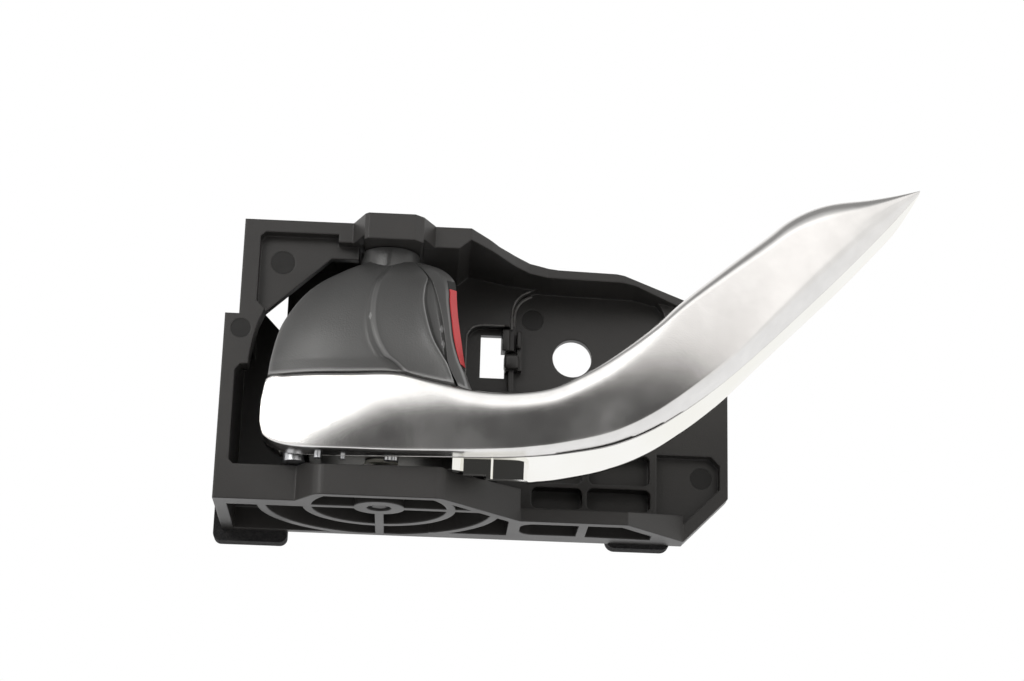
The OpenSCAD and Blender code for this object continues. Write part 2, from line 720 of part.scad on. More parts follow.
module pivot_pin() {
    color([0.72, 0.73, 0.75])
        placed()
            union() {
                translate([0, 0, 0.4]) cylinder(r = pin_r, h = 77.8);
                translate([0, 0, 78.2]) cylinder(r1 = pin_r, r2 = 1.5, h = 0.4);
            }
}

module pin_retainer_ring() {
    color([0.55, 0.56, 0.58])
        placed()
            difference() {
                translate([0, 0, 0.9]) cylinder(r = 3.3, h = 0.6);
                translate([0, 0, 0]) cylinder(r = pin_r, h = 3);
                for (a = [0 : 60 : 300])
                    rotate([0, 0, a]) translate([pin_r - 0.3, -0.3, 0])
                        cube([0.9, 0.6, 3]);
            }
}

module thrust_washer() {
    color([0.85, 0.84, 0.80])
        placed()
            for (z = [[beam_high - 1.1, 1.0], [34.3, 0.9]])
                translate([0, 0, z[0]])
                    difference() {
                        cylinder(r = 4.6, h = z[1]);
                        translate([0, 0, -1]) cylinder(r = pin_r + 0.15, h = 5);
                    }
}

// a round wire along a list of points
module wire(path, r, sides = 6) {
    n = len(path);
    ring = [for (i = [0 : n - 1])
        let (t = path[min(i + 1, n - 1)] - path[max(i - 1, 0)])
        let (u = cross(t, [0, 0, 1]) / norm(cross(t, [0, 0, 1])))
        let (v = cross(u, t) / norm(t))
        [for (k = [0 : sides - 1])
            path[i] + r * (cos(360 * k / sides) * u + sin(360 * k / sides) * v)]];
    faces = concat(
        [for (j = [0 : n - 2]) for (k = [0 : sides - 1])
            [j * sides + k, (j + 1) * sides + k, (j + 1) * sides + (k + 1) % sides]],
        [for (j = [0 : n - 2]) for (k = [0 : sides - 1])
            [j * sides + k, (j + 1) * sides + (k + 1) % sides,
             j * sides + (k + 1) % sides]],
        [[for (k = [0 : sides - 1]) k]],
        [[for (k = [sides - 1 : -1 : 0]) (n - 1) * sides + k]]);
    polyhedron(points = joined(ring), faces = faces, convexity = 10);
}

module lever_return_spring() {
    color([0.60, 0.61, 0.63])
        placed()
            wire(concat(
                [for (s = [18 : -3 : 3]) [-coil_r - 0.02, s, coil_low]],
                [for (a = [0 : 20 : 360 * coil_turns])
                    [-coil_r * cos(a), -coil_r * sin(a),
                     coil_low + coil_pitch * a / 360]],
                [for (s = [3 : 3 : 9]) [-coil_r, -s, coil_top]]), wire_r);
}

// leaf that clicks the knob into its two places
module lock_detent_spring() {
    color([0.58, 0.59, 0.61])
        placed()
            plan(58.6, 62.6)
                polygon([[12, recess_y], [5.2, recess_y], [3.9, recess_y - 0.6],
                         [2.6, 16.6], [0.2, 15.1], [-3.0, 17.2],
                         [-3.4, 16.7], [0.2, 14.5], [3.2, 16.2],
                         [4.6, recess_y - 0.6], [12, recess_y - 0.6]]);
}

module lever_stop_bumper() {
    color([0.07, 0.07, 0.07])
        placed()
            translate([26.2, 1.6, 12]) cube([5.6, 2.8, 7]);
}

module lever_end_cushion() {
    color([0.08, 0.08, 0.08])
        placed()
            translate([-28, recess_y - 4, 18]) cube([12, 4, 12]);
}

module foam_pad_left() {
    color([0.06, 0.06, 0.06])
        placed()
            slab(rear_y, rear_y + foam)
                soft_box([-47.8, -3.2], [pad_left_wide - 47.8, pad_left_high - 3.2],
                         2.2);
}

module foam_pad_right() {
    color([0.06, 0.06, 0.06])
        placed()
            slab(rear_y, rear_y + foam)
                soft_box([65.4, -1.2], [pad_right_wide + 65.4,
                         pad_right_high - 1.2], 2.8);
}

housing();
lever_front_cover();
lever_back_cover();
lever_screw();
lock_knob();
lock_indicator();
pivot_pin();
pin_retainer_ring();
thrust_washer();
lever_return_spring();
lock_detent_spring();
lever_stop_bumper();
lever_end_cushion();
foam_pad_left();
foam_pad_right();
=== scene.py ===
"""Car interior door handle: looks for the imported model.

Metres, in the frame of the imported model: the origin is the middle of the fixing
hole, X runs along the door, Y goes into the door and Z is up. Shapes are written
in millimetres from the pivot axis, as at() reads them.
"""
import math

import bmesh
import bpy
from mathutils import Matrix, Vector


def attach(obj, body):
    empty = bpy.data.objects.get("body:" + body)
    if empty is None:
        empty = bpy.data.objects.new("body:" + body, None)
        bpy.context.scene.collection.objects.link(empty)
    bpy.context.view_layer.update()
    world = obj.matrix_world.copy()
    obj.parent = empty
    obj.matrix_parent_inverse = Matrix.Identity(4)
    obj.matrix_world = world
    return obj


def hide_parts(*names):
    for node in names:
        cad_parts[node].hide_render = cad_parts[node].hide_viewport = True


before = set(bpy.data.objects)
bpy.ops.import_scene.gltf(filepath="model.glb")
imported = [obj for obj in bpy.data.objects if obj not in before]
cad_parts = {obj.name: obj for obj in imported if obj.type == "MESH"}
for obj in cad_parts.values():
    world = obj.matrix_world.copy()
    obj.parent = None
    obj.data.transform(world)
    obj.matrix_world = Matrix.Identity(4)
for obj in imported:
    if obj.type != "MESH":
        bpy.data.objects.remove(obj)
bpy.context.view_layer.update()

# the pivot axis lies this far from the origin, in millimetres
PIVOT = Vector((-54.5, -33.0, -55.0))


def at(x, y, z):
    """A point in metres from millimetres off the pivot axis."""
    return (PIVOT + Vector((x, y, z))) / 1000


# camera

CAM_AT = Vector((9.68, -584.57, -141.36))
CAM_PITCH = math.radians(18.1)
CAM_YAW = math.radians(2.5)
CAM_ROLL = math.radians(1.6)
CAM_LENS = 76.8


def make_camera():
    look = Vector((math.sin(CAM_YAW) * math.cos(CAM_PITCH),
                   math.cos(CAM_YAW) * math.cos(CAM_PITCH),
                   math.sin(CAM_PITCH)))
    flat = Vector((math.cos(CAM_YAW), -math.sin(CAM_YAW), 0))
    up = flat.cross(look)
    right = math.cos(CAM_ROLL) * flat + math.sin(CAM_ROLL) * up
    top = math.cos(CAM_ROLL) * up - math.sin(CAM_ROLL) * flat
    data = bpy.data.cameras.new("camera")
    data.lens = CAM_LENS
    data.sensor_width = 36
    data.clip_start = 0.01
    cam = bpy.data.objects.new("camera", data)
    axes = Matrix((right, top, -look)).transposed().to_4x4()
    cam.matrix_world = Matrix.Translation(at(*CAM_AT)) @ axes
    bpy.context.scene.collection.objects.link(cam)
    bpy.context.scene.camera = cam


make_camera()


# materials

class Nodes:
    """Short calls for building a shader."""

    def __init__(self, tree):
        self.tree = tree

    def add(self, kind, **values):
        node = self.tree.nodes.new(kind)
        for key, value in values.items():
            if hasattr(node, key):
                setattr(node, key, value)
            else:
                node.inputs[key].default_value = value
        return node

    def link(self, a, out, b, into):
        self.tree.links.new(a.outputs[out], b.inputs[into])

    def math(self, operation, a, b):
        node = self.add("ShaderNodeMath", operation=operation)
        for i, source in enumerate((a, b)):
            if isinstance(source, (int, float)):
                node.inputs[i].default_value = source
            else:
                self.tree.links.new(source, node.inputs[i])
        return node.outputs[0]

    def noise(self, where, scale, detail):
        node = self.add("ShaderNodeTexNoise", Scale=scale, Detail=detail,
                        Roughness=0.55)
        self.tree.links.new(where, node.inputs["Vector"])
        return node.outputs["Fac"]

    def remap(self, value, low, high, to_low, to_high, kind="LINEAR"):
        node = self.add("ShaderNodeMapRange", interpolation_type=kind)
        self.tree.links.new(value, node.inputs["Value"])
        for key, number in (("From Min", low), ("From Max", high),
                            ("To Min", to_low), ("To Max", to_high)):
            node.inputs[key].default_value = number
        return node.outputs[0]

    def smooth(self, value, low, high, to_low, to_high):
        return self.remap(value, low, high, to_low, to_high, "SMOOTHSTEP")

    def tint(self, value, dark, light):
        node = self.add("ShaderNodeMix", data_type="RGBA")
        self.tree.links.new(value, node.inputs[0])
        node.inputs[6].default_value = (*dark, 1)
        node.inputs[7].default_value = (*light, 1)
        return node.outputs[2]


# shares of the noise over which the colour and the roughness drift
COLOUR_DRIFT = (0.35, 0.65)
ROUGH_DRIFT = (0.3, 0.7)
# how sharp a ridge is where the lighter colour starts and where it is full, and the
# heights in metres between which it fades out; it is a painted highlight on the
# ridges that also stands for wear from use
HIGHLIGHT_AND_WEAR_RIDGE = (0.504, 0.535)
HIGHLIGHT_AND_WEAR_TOP = (0.004, 0.010)


def new_material(name, dark, light, rough, metallic=0.0, spot_scale=60.0,
                 grain_scale=2500.0, grain_height=0.00002, edge=0.0002,
                 highlight_and_wear=0.0, **constants):
    """A shader whose colour and roughness drift between two values, with a fine
    grain, softly rounded edges and ridges painted lighter: a painted highlight that
    also stands for wear from use."""
    mat = bpy.data.materials.new(name)
    mat.use_nodes = True
    n = Nodes(mat.node_tree)
    shader = mat.node_tree.nodes["Principled BSDF"]
    where = n.add("ShaderNodeTexCoord").outputs["Object"]
    drift = n.noise(where, spot_scale, 5.0)
    colour = n.tint(n.remap(drift, *COLOUR_DRIFT, 0.0, 1.0), dark, light)
    # ridges get a lighter colour here: a painted highlight, partly also wear from
    # use
    if highlight_and_wear:
        ridge = n.add("ShaderNodeNewGeometry").outputs["Pointiness"]
        lit_and_rubbed = n.add("ShaderNodeMix", data_type="RGBA")
        split = n.add("ShaderNodeSeparateXYZ")
        mat.node_tree.links.new(where, split.inputs[0])
        below = n.remap(split.outputs["Z"], *HIGHLIGHT_AND_WEAR_TOP, 1.0, 0.0)
        mat.node_tree.links.new(
            n.math("MULTIPLY", n.remap(ridge, *HIGHLIGHT_AND_WEAR_RIDGE, 0.0, 1.0), below),
            lit_and_rubbed.inputs[0])
        mat.node_tree.links.new(colour, lit_and_rubbed.inputs[6])
        lit_and_rubbed.inputs[7].default_value = (highlight_and_wear, highlight_and_wear, highlight_and_wear, 1)
        colour = lit_and_rubbed.outputs[2]
    mat.node_tree.links.new(colour, shader.inputs["Base Color"])
    gloss = n.remap(drift, *ROUGH_DRIFT, *rough)
    mat.node_tree.links.new(gloss, shader.inputs["Roughness"])
    shader.inputs["Metallic"].default_value = metallic
    for key, value in constants.items():
        shader.inputs[key.replace("_", " ")].default_value = value
    bump = n.add("ShaderNodeBump", Strength=1.0, Distance=grain_height)
    mat.node_tree.links.new(n.noise(where, grain_scale, 3.0), bump.inputs["Height"])
    if edge:
        bevel = n.add("ShaderNodeBevel", samples=6)
        bevel.inputs["Radius"].default_value = edge
        n.link(bevel, "Normal", bump, "Normal")
    n.link(bump, "Normal", shader, "Normal")
    return mat


black_moulding = new_material(
    "black_moulding", (0.0250, 0.0236, 0.0226), (0.0310, 0.0294, 0.0282),
    (0.34, 0.44), spot_scale=35, grain_scale=2600, grain_height=0.000035,
    edge=0.0006, Specular_IOR_Level=0.42)
satin_chrome = new_material(
    "satin_chrome", (0.755, 0.745, 0.735), (0.81, 0.80, 0.79), (0.198, 0.228),
    metallic=1.0, spot_scale=170, grain_scale=3400, grain_height=0.00002,
    edge=0.0)
bright_chrome = new_material(
    "bright_chrome", (0.90, 0.89, 0.84), (0.94, 0.935, 0.91), (0.05, 0.09),
    metallic=1.0, spot_scale=30, grain_scale=900, grain_height=0.000002,
    edge=0.0)
# the knob's ridges are painted lighter: a painted highlight that also stands for
# wear
soft_grey = new_material(
    "soft_grey", (0.045, 0.045, 0.0445), (0.055, 0.055, 0.054), (0.33, 0.38),
    spot_scale=45, grain_scale=2200, grain_height=0.00006, edge=0.0,
    highlight_and_wear=0.21, Specular_IOR_Level=0.6)
red_insert = new_material(
    "red_insert", (0.50, 0.035, 0.04), (0.58, 0.05, 0.055), (0.36, 0.44),
    spot_scale=90, grain_scale=3000, grain_height=0.00001, edge=0.0001)
zinc_steel = new_material(
    "zinc_steel", (0.55, 0.56, 0.58), (0.66, 0.67, 0.69), (0.25, 0.38),
    metallic=1.0, spot_scale=300, grain_scale=4000, grain_height=0.00001,
    edge=0.0001)
spring_steel = new_material(
    "spring_steel", (0.33, 0.34, 0.36), (0.45, 0.46, 0.48), (0.24, 0.36),
    metallic=1.0, spot_scale=300, grain_scale=4000, grain_height=0.00001,
    edge=0.0)
black_steel = new_material(
    "black_steel", (0.035, 0.034, 0.033), (0.07, 0.068, 0.065), (0.38, 0.5),
    metallic=1.0, spot_scale=300, grain_scale=3000, grain_height=0.00002,
    edge=0.0003)
natural_nylon = new_material(
    "natural_nylon", (0.70, 0.68, 0.62), (0.80, 0.78, 0.72), (0.40, 0.5),
    spot_scale=200, grain_scale=3000, grain_height=0.00001, edge=0.0001)
# a light grey that paints the highlight along the recesses' rounded edges
painted_highlight_lip = new_material(
    "painted_highlight_lip", (0.09, 0.087, 0.083), (0.15, 0.145, 0.14), (0.25, 0.35),
    spot_scale=300, grain_scale=2600, grain_height=0.00002, edge=0.0)
disc_black = new_material(
    "disc_black", (0.011, 0.0105, 0.010), (0.014, 0.0135, 0.013), (0.36, 0.42),
    spot_scale=300, grain_scale=2600, grain_height=0.00001, edge=0.0,
    Specular_IOR_Level=0.3)
# black rubber for the bumpers, also the painted shade on the seam plate, the lid
# and the slot strip
black_rubber = new_material(
    "black_rubber", (0.012, 0.012, 0.012), (0.020, 0.020, 0.020), (0.65, 0.8),
    spot_scale=150, grain_scale=2500, grain_height=0.00004, edge=0.0003)
black_foam = new_material(
    "black_foam", (0.006, 0.006, 0.007), (0.018, 0.017, 0.017), (0.9, 1.0),
    spot_scale=700, grain_scale=1300, grain_height=0.0005, edge=0.0)

FINISH = {
    "housing": black_moulding, "lever_front_cover": satin_chrome,
    "lever_back_cover": bright_chrome, "lever_screw": zinc_steel,
    "lock_knob": soft_grey, "lock_indicator": red_insert,
    "pivot_pin": black_steel, "pin_retainer_ring": spring_steel,
    "thrust_washer": natural_nylon, "lever_return_spring": spring_steel,
    "lock_detent_spring": spring_steel, "lever_stop_bumper": black_rubber,
    "lever_end_cushion": black_rubber, "foam_pad_left": black_foam,
    "foam_pad_right": black_foam,
}


def finish_nodes():
    for name, mat in FINISH.items():
        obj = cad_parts[name]
        if not obj.material_slots:
            obj.data.materials.append(mat)
        for place in obj.material_slots:
            place.material = mat


finish_nodes()


# curves through short lists of points, as the solids follow them

def curve(table, x):
    """The value at x on a smooth curve through the table's points."""
    last = len(table) - 2
    i = 0
    while i < last and x >= table[i + 1][0]:
        i += 1
    a, b = table[i], table[i + 1]
    width = b[0] - a[0]
    u = (x - a[0]) / width

    def slope(k):
        p, q = table[max(k - 1, 0)], table[min(k + 1, len(table) - 1)]
        return (q[1] - p[1]) / (q[0] - p[0]) * width

    return (a[1] * (1 + 2 * u) * (1 - u) ** 2 + slope(i) * u * (1 - u) ** 2
            + b[1] * u * u * (3 - 2 * u) + slope(i + 1) * u * u * (u - 1))


def spread(a, b, count):
    return [a + (b - a) * i / (count - 1) for i in range(count)]


def show(name, mesh, mat, sharp):
    """An object of the mesh, smooth but for edges sharper than sharp degrees."""
    mesh.shade_smooth()
    mesh.set_sharp_from_angle(angle=math.radians(sharp))
    mesh.materials.append(mat)
    obj = bpy.data.objects.new(name, mesh)
    bpy.context.scene.collection.objects.link(obj)
    return obj


def loft(name, rings, mat, sharp=32.0):
    """A closed skin through rings of points given in millimetres."""
    mesh = bpy.data.meshes.new(name)
    bm = bmesh.new()
    rows = [[bm.verts.new(at(*p)) for p in ring] for ring in rings]
    size = len(rows[0])
    for low, high in zip(rows, rows[1:]):
        for i in range(size):
            j = (i + 1) % size
            bm.faces.new((low[i], low[j], high[j], high[i]))
    for row in (rows[0], rows[-1]):
        for i in range(size // 2 - 1):
            bm.faces.new((row[i], row[i + 1], row[size - 2 - i],
                          row[size - 1 - i]))
    bmesh.ops.recalc_face_normals(bm, faces=bm.faces)
    bm.to_mesh(mesh)
    bm.free()
    return show(name, mesh, mat, sharp)


# the pull lever

# tables over X, in this order: its upper and lower edge, its front, how deep the
# front shell and the whole lever are, how far the crease lies over the lower edge,
# how far the back shell hangs below, and the share of the height that is rounded
# at the upper edge
LEVER_TOP = [(-33, 26), (-32, 32.2), (-27, 33.1), (-9, 33.2), (3, 33.3),
             (12.5, 31.2), (26, 28.5), (36, 28.2), (46, 30.0), (55.8, 35.2),
             (64.3, 41.2), (73, 48.3), (79.8, 54.9), (93.1, 66.4),
             (103.6, 75.1), (109.2, 80.0), (115.5, 83.9), (122.4, 86.6),
             (133.5, 89.0), (148, 92.8)]
LEVER_LOW = [(-33, 18.5), (-32, 15.2), (-27.4, 12.5), (-19.7, 11.3),
             (-8, 10.9), (5.3, 10.7), (27.7, 10.7), (38.8, 11.1), (50, 12.3),
             (63.7, 15.3), (76.8, 21.8), (94.6, 35.7), (121, 61.8),
             (136, 78.0), (148, 92.0)]
LEVER_FACE = [(-33, -14), (-20, -18), (0, -21.5), (28, -25), (63, -28),
              (93, -29), (108, -28.5), (127, -26), (148, -20)]
FRONT_DEEP = [(-33, 2.5), (-30, 5.0), (-24, 6.4), (0, 7.0), (63, 8.0),
              (93, 8.0), (127, 6.0), (140, 4.0), (148, 1.4)]
LEVER_DEEP = [(-33, 8), (-30, 14), (-22, 20), (0, 27.5), (28, 26), (45, 24),
              (63, 22), (93, 19), (108, 14.6), (127, 12.2), (140, 8.6),
              (148, 2.6)]
CREASE = [(-33, 0.9), (12, 0.9), (35, 1.3), (50, 2.0), (63, 2.9), (79, 4.2),
          (94, 5.0), (106, 6.6), (120, 7.6), (135, 6.0), (148, 0.35)]
BELLY = [(-33, 0), (28, 0), (34, 0.5), (37.4, 1.6), (39.6, 4.4), (43, 4.7),
         (48, 4.8), (61, 4.7), (76, 4.6), (84, 4.4), (94, 4.0), (103, 3.5),
         (120, 3.6), (136, 3.4), (142, 3.2), (146, 1.5), (148, 0.2)]
TOP_ROUND = [(-33, 0.08), (20, 0.10), (60, 0.11), (85, 0.13), (110, 0.20),
             (130, 0.30), (148, 0.30)]
SHELL = 2.2
LEVER_ENDS = (-33.0, 148.0)
# the gap at the joint of the two shells, and the dark plate in it that paints the
# shade in the gap: how far it reaches to the front and to the back of the joint,
# and stays inside the edge
SEAM = 0.22
SEAM_SHADE_FRONT = 0.33
SEAM_SHADE_BACK = 0.1
SEAM_SHADE_INSET = 0.25


# share of the front shell's depth at its edges and next to the rounding and the
# crease, how far the middle of the face rises over that, and the bevel's curve
EDGE_STAND = 0.01
FACE_STAND = 0.98
CROWN = 0.02
BEVEL_POWER = 1.3


def stand(s, rounded, crease_at):
    """How far the front face stands out at share s of its height."""
    rise = FACE_STAND - EDGE_STAND
    if s < rounded:
        return EDGE_STAND + rise * math.sqrt(1 - (1 - s / rounded) ** 2)
    if s <= crease_at:
        return FACE_STAND + CROWN * math.sin(math.pi * (s - rounded)
                                             / (crease_at - rounded))
    past = (s - crease_at) / (1 - crease_at)
    return EDGE_STAND + rise * math.cos(math.pi / 2 * past ** BEVEL_POWER)


# the fold that starts at the lower left and the fold under the upper edge, as
# shares of the height, and how steep the face falls back beyond each
LOW_FOLD = [(-33, 1.1), (-24, 0.98), (-12, 0.80), (0, 0.62), (9, 0.48),
            (20, 0.40), (35, 0.36), (60, 0.38), (78, 0.52), (95, 0.85),
            (110, 1.1), (148, 1.1)]
LOW_FALL = [(-33, 0.0), (-24, 0.20), (0, 0.26), (60, 0.27), (72, 0.19),
            (84, 0.06), (96, 0.0), (148, 0.0)]
TOP_FOLD = [(-33, 0.0), (0, 0.0), (12, 0.16), (25, 0.26), (60, 0.25),
            (78, 0.14), (90, 0.0), (148, 0.0)]
TOP_FALL = [(-33, 0.0), (0, 0.0), (14, 0.24), (30, 0.27), (60, 0.25),
            (78, 0.12), (90, 0.0), (148, 0.0)]
# how soft the two folds are
LOW_SOFT = 0.24
TOP_SOFT = 0.06


def ramp(value, soft):
    """Zero below 0 and rising evenly above it, with a soft start."""
    return (value + math.sqrt(value * value + soft * soft) - soft) / 2


def falls_back(x, s, high):
    """How far the two folds take the face back at share s of its height."""
    low = max(0, curve(LOW_FALL, x)) * ramp(s - curve(LOW_FOLD, x), LOW_SOFT)
    top = max(0, curve(TOP_FALL, x)) * ramp(curve(TOP_FOLD, x) - s, TOP_SOFT)
    return high * (low + top)


# lengths over which the shells' hollow narrows at the left and right end, and what
# is left of it
NARROWS = (3.0, 5.0)
NARROWEST = 0.1


def close_in(x):
    left, right = LEVER_ENDS
    near = min(1, (x - left) / NARROWS[0], (right - x) / NARROWS[1])
    return near * (1 - NARROWEST) + NARROWEST


def stations():
    """Where the lever's rings lie along X, closer together at its ends."""
    left, right = LEVER_ENDS
    ends = [left, left + 0.15, left + 0.35, left + 0.6, left + 1.0]
    return (ends + spread(left + 1.6, right - 6, 170)
            + spread(right - 5.4, right, 14))


def front_heights(rounded, crease_at):
    """Shares of the height, closer together where the face bends."""
    return ([rounded * (i / 10) ** 1.7 for i in range(10)]
            + spread(rounded, crease_at, 32)
            + [crease_at + (1 - crease_at) * (1 - (1 - i / 12) ** 1.5)
               for i in range(1, 13)])


def front_ring(x):
    """The section of the front shell: its face, then its inside the other way."""
    top, low = curve(LEVER_TOP, x), curve(LEVER_LOW, x)
    high, deep = top - low, curve(FRONT_DEEP, x)
    part = curve(LEVER_FACE, x) + deep
    crease_at = 1 - curve(CREASE, x) / max(high, 0.8)
    rounded = curve(TOP_ROUND, x)
    out = []
    for s in front_heights(rounded, crease_at):
        face = deep * stand(s, rounded, crease_at) - falls_back(x, s, high)
        out.append((x, part - max(face, SEAM * min(1, deep / 4)), top - high * s))
    near = close_in(x)
    thick = SHELL * near
    kz = near * max(0.1, (high - 2 * thick) / high)
    ky = near * max(0.1, (deep - thick) / deep)
    mid = (top + low) / 2
    back = [(x, part - (part - y) * ky, mid + (z - mid) * kz)
            for x, y, z in reversed(out)]
    return out + back


# power of the back shell's section: square below and on the left, and rounder
# above the further it is past ROUNDER_FROM
SQUARE = 7
ROUNDEST = 2.3
ROUNDER_FROM = 40
ROUNDER_BY = 0.11


def square_off(x, up):
    if x < ROUNDER_FROM or not up:
        return SQUARE
    return max(ROUNDEST, SQUARE - (x - ROUNDER_FROM) * ROUNDER_BY)


def back_ring(x):
    """The section of the back shell: its outside, then its inside."""
    top, low = curve(LEVER_TOP, x), curve(LEVER_LOW, x)
    high, front = top - low, curve(FRONT_DEEP, x)
    deep = curve(LEVER_DEEP, x) - front
    part = curve(LEVER_FACE, x) + front
    belly = max(0, curve(BELLY, x))
    mid = (top + low) / 2
    out = []
    for angle in spread(0, math.pi, 49):
        c, s = abs(math.cos(angle)), math.sin(angle)
        up = angle <= math.pi / 2
        power = square_off(x, up)
        reach = (c ** power + s ** power) ** (-1 / power)
        half = high / 2
        if not up:
            half += belly * math.sin(math.pi / 2 * min(1, s * reach))
        out.append((x, part + deep * s * reach,
                    mid + (1 if up else -1) * c * reach * half))
    near = close_in(x)
    thick = SHELL * near
    kz = near * max(0.1, (high - 2 * thick) / high)
    ky = near * max(0.1, (deep - thick) / deep)
    back = [(x, part + (y - part) * ky, mid + (z - mid) * kz)
            for x, y, z in reversed(out)]
    return out + back


def cylinder(start, end, radius, sides=48):
    """A closed cylinder between two points in millimetres."""
    a, b = Vector(at(*start)), Vector(at(*end))
    turn = (b - a).to_track_quat("Z", "Y").to_matrix().to_4x4()
    bm = bmesh.new()
    bmesh.ops.create_cone(bm, cap_ends=True, segments=sides, radius1=radius / 1000,
                          radius2=radius / 1000, depth=(b - a).length,
                          matrix=Matrix.Translation((a + b) / 2) @ turn)
    return bm


def block(low, size, round_by=0.0):
    """A box from its low corner and size in millimetres, its edges rounded."""
    bm = bmesh.new()
    bmesh.ops.create_cube(bm, size=1)
    mid = [low[i] + size[i] / 2 for i in range(3)]
    for v in bm.verts:
        v.co = Vector(at(*[mid[i] + v.co[i] * size[i] for i in range(3)]))
    if round_by:
        bmesh.ops.bevel(bm, geom=bm.edges[:], offset=round_by / 1000, segments=3,
                        profile=0.5, affect="EDGES")
    return bm


def prism(outline, low, high, lean=0.0):
    """A plan outline drawn up from one height to another, in millimetres. With
    lean, its first two points stand further back at the bottom."""
    bm = bmesh.new()
    back = lean * (high - low)
    under = [bm.verts.new(at(x, y + (back if i < 2 else 0), low))
             for i, (x, y) in enumerate(outline)]
    over = [bm.verts.new(at(x, y, high)) for x, y in outline]
    count = len(outline)
    for i in range(count):
        j = (i + 1) % count
        bm.faces.new((under[i], under[j], over[j], over[i]))
    bm.faces.new(under[::-1])
    bm.faces.new(over)
    bmesh.ops.recalc_face_normals(bm, faces=bm.faces)
    return bm


def body_of(name, pieces, mat):
    """One object made of several closed pieces."""
    mesh = bpy.data.meshes.new(name)
    whole = bmesh.new()
    for bm in pieces:
        part = bpy.data.meshes.new("part")
        bm.to_mesh(part)
        bm.free()
        whole.from_mesh(part)
        bpy.data.meshes.remove(part)
    whole.to_mesh(mesh)
    whole.free()
    return show(name, mesh, mat, 35)


def apply_boolean(obj, cutter, operation="DIFFERENCE"):
    """Cuts the cutter from the object, or joins it, and deletes the cutter."""
    tool = obj.modifiers.new("cut", "BOOLEAN")
    tool.operation = operation
    tool.object = cutter
    tool.solver = "EXACT"
    graph = bpy.context.evaluated_depsgraph_get()
    cut = bpy.data.meshes.new_from_object(obj.evaluated_get(graph))
    obj.modifiers.clear()
    obj.data = cut
    old = cutter.data
    bpy.data.objects.remove(cutter)
    bpy.data.meshes.remove(old)


SCREW_AT = [(-21, 22), (58, 25), (96, 50)]
# the seats that hold the screws: depth behind the front shell, depth of the head's
# recess in them, and radius of seat, head and shank
SEAT_DEEP = 4.2
HEAD_DEEP = 1.6
SEAT_R = 4.2
HEAD_R = 3.2
SHANK_R = 1.7
# bore round the pin, radius of the bearing lugs, and their foot and top
PIN_BORE = 2.05
LUG_R = 5.6
COIL_TOP = 26.0
LUGS = [(11.5, 15.6), (COIL_TOP + 1, 32)]
# low corner, size and rounding of the web between the lugs, of the finger that the
# spring pushes on, of its tip and of the cable arm
BACK_BLOCKS = [((-12, 4.5, 12.5), (24, 2.2, 18.5)),
               ((-6.4, -8, COIL_TOP + 1), (3, 7, 3), 0.3),
               ((-6.4, -8, COIL_TOP - 1.6), (2.6, 3, 4), 0.3),
               ((-3.2, 4.5, 18), (6.4, 18.5, 5.2), 0.4)]
# hole for the cable end, the slot that leads to it and the slot for the spring
ARM_HOLE = ((0, 18.8, 17), (0, 18.8, 25), 1.7)
BACK_SLOTS = [((-0.8, 18.8, 17), (1.6, 10, 8)), ((-8.6, 3, 15.8), (6.8, 5, 2.2))]
# plan of the bright facets in the opening: they stand on FOOT and are FACETS_HIGH
# high, and those beyond FACET_STEP reach lower by FACET_DROP
FOOT = 10.2
FACETS_HIGH = 7
FACETS = [(18.6, -2.6), (29.8, -2.6), (38.6, -2.9), (39.3, -3.3), (41.5, -5.6),
          (41.5, -0.8), (18.6, 0.4)]
FACET_STEP = 28.6
FACET_DROP = 1.3
# the facets that close the belly's left end: two corners, height of the foot and
# how far each leans; those that lean most look white and the others dark
SKIRT = [((19.4, -16.0), (22.4, -14.8), 7.9, 0.30),
         ((22.4, -15.6), (28.6, -15.6), 6.9, 0.16),
         ((28.6, -15.6), (29.8, -15.6), 5.8, 0.16),
         ((29.8, -16.3), (30.4, -16.0), 5.8, 0.30),
         ((30.4, -15.6), (38.7, -15.6), 5.8, 0.16),
         ((38.7, -16.6), (39.7, -16.1), 5.8, 0.30)]
SKIRT_TOP = 12.4
SKIRT_BACK = -12.6
# openings in the lever's underside: low corner and size
POCKETS = [((-27.6, -13, 5), (8, 10.4, 9.4)),
           ((19.3, -16.2, 5), (20, 9.4, 11.8)),
           ((21.5, -7, 5), (16.5, 3.2, 11.8))]
# dark cover over the two openings on the right, a black plate that paints shade
# into them and into the facets' reflection
SHADE_LID = ((19.4, -16.1, 17.3), (19.8, 12.9, 0.5))
# feet that show between the lever and the beam: place, top, radius and sides
FEET = [(-23.6, -7, 14.4, 3.0, 48), (-17.0, -12.5, 12.6, 1.0, 20),
        (-10.2, -12.5, 12.6, 0.7, 20), (2.0, -12.5, 12.6, 1.1, 20),
        (3.8, -12.5, 12.6, 0.8, 20)]


def screw_y(x):
    """Where the rear of the lever lies at a screw."""
    return curve(LEVER_FACE, x) + curve(LEVER_DEEP, x)


def along_y(x, z, front, back, radius):
    """A cylinder that lies along Y."""
    return cylinder((x, back, z), (x, front, z), radius)


